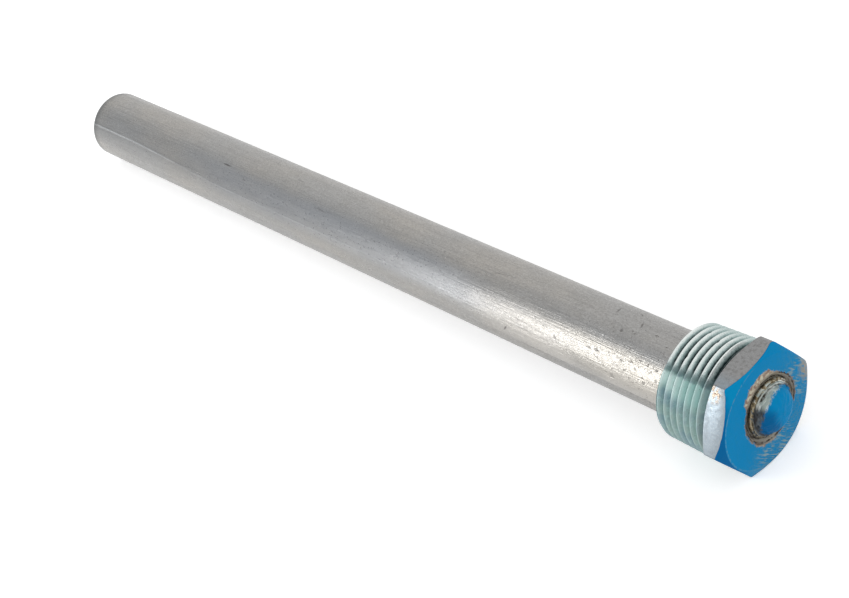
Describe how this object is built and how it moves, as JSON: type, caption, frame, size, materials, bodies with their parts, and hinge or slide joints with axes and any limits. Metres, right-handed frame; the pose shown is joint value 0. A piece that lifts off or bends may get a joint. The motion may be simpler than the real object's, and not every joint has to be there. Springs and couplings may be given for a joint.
{
  "type": "sacrificial anode",
  "caption": "Plain round anode rod on a steel core, held in a hexagon plug with a tapered pipe thread and a domed, painted head.",
  "frame": {"origin": "on the rod's axis, at the shoulder where the hexagon meets the pipe thread", "axes": "+X along the rod's axis, out of the plug's head; +Z out of the upper flat of the hexagon, so the part lies on the opposite flat; the rod runs to -X"},
  "size_m": [0.2494, 0.0312, 0.027],
  "materials": {
    "plated_steel": "zinc plated, with blue paint on the front face",
    "anode_metal": "as extruded, satin, with fine lines along the rod and small pits",
    "core_steel": "bare steel, with blue paint on the formed head"
  },
  "bodies": {
    "root": {"threaded_plug": "plated_steel", "anode_rod": "anode_metal", "core_rod": "core_steel"}
  },
  "joints": []
}
